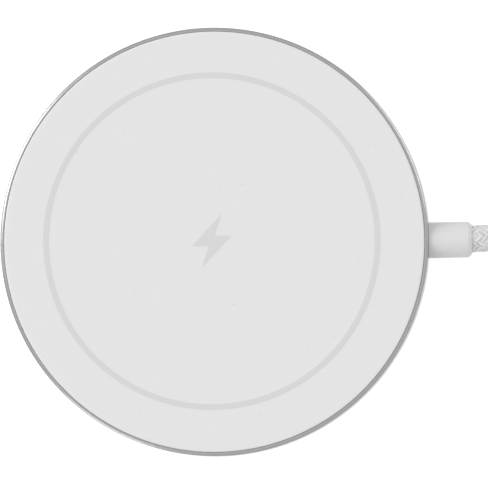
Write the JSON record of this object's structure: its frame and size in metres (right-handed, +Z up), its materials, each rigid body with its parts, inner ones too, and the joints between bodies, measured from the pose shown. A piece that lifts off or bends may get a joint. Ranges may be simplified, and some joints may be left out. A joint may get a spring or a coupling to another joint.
{
  "type": "wireless charging pad",
  "caption": "Flat round magnetic wireless charger with an aluminium rim, a matt white top and a captive braided cord ending in a small reversible plug.",
  "frame": {"origin": "centre of the pad's underside, on the surface that it stands on", "axes": "+Z up out of the charging face, +X towards the cord's exit"},
  "size_m": [0.1444, 0.0867, 0.0095],
  "materials": {
    "aluminium_rim": "anodised, turned, satin",
    "soft_touch_white": "soft-touch coating, matt",
    "white_plastic": "moulded, satin",
    "silicone_grey": "silicone, matt",
    "relief_white": "overmoulded elastomer, satin",
    "braided_sleeve": "braided polyester, white with grey",
    "tie_fabric": "woven hook-and-loop tape",
    "plug_metal": "nickel-plated, bright",
    "plug_insert_black": "moulded, black",
    "magnet": "nickel-plated",
    "magnet_steel": "plain rolled",
    "dark_plastic": "moulded, black",
    "litz_copper": "enamelled stranded copper wire",
    "ferrite": "sintered, matt",
    "shield_foil": "rolled foil",
    "board_green": "solder mask",
    "chip_black": "moulded epoxy",
    "capacitor_ceramic": "ceramic chip",
    "thermal_pad": "gap-filling silicone",
    "screw_steel": "zinc-plated",
    "wire_red": "insulation",
    "wire_black": "insulation",
    "wire_green": "insulation",
    "wire_blue": "insulation",
    "contact_gold": "gold-plated"
  },
  "bodies": {
    "root": {"rim_frame": "aluminium_rim", "top_plate": "soft_touch_white", "bottom_cover": "white_plastic", "plug_housing": "white_plastic", "foot_pad": "silicone_grey", "strain_relief": "relief_white", "plug_sleeve": "relief_white", "cord_lead": "braided_sleeve", "cord_coil": "braided_sleeve", "cord_tail": "braided_sleeve", "cable_tie": "tie_fabric", "plug_shell": "plug_metal", "plug_insert": "plug_insert_black", "magnet_01": "magnet", "magnet_02": "magnet", "magnet_03": "magnet", "magnet_04": "magnet", "magnet_05": "magnet", "magnet_06": "magnet", "magnet_07": "magnet", "magnet_08": "magnet", "magnet_09": "magnet", "magnet_10": "magnet", "magnet_11": "magnet", "magnet_12": "magnet", "magnet_13": "magnet", "magnet_14": "magnet", "magnet_15": "magnet", "magnet_backplate": "magnet_steel", "magnet_carrier": "dark_plastic", "charging_coil": "litz_copper", "ferrite_sheet": "ferrite", "shield_plate": "shield_foil", "circuit_board": "board_green", "plug_board": "board_green", "controller_ic": "chip_black", "power_stage_1": "chip_black", "power_stage_2": "chip_black", "power_inductor": "chip_black", "temperature_sensor": "chip_black", "resonant_capacitor_1": "capacitor_ceramic", "resonant_capacitor_2": "capacitor_ceramic", "resonant_capacitor_3": "capacitor_ceramic", "resonant_capacitor_4": "capacitor_ceramic", "input_capacitor_1": "capacitor_ceramic", "input_capacitor_2": "capacitor_ceramic", "thermal_pad": "thermal_pad", "cover_screw_1": "screw_steel", "cover_screw_2": "screw_steel", "cover_screw_3": "screw_steel", "crimp_ring": "screw_steel", "wire_positive": "wire_red", "wire_negative": "wire_black", "wire_data": "wire_green", "wire_control": "wire_blue", "plug_contacts_upper": "contact_gold", "plug_contacts_lower": "contact_gold"}
  },
  "joints": []
}
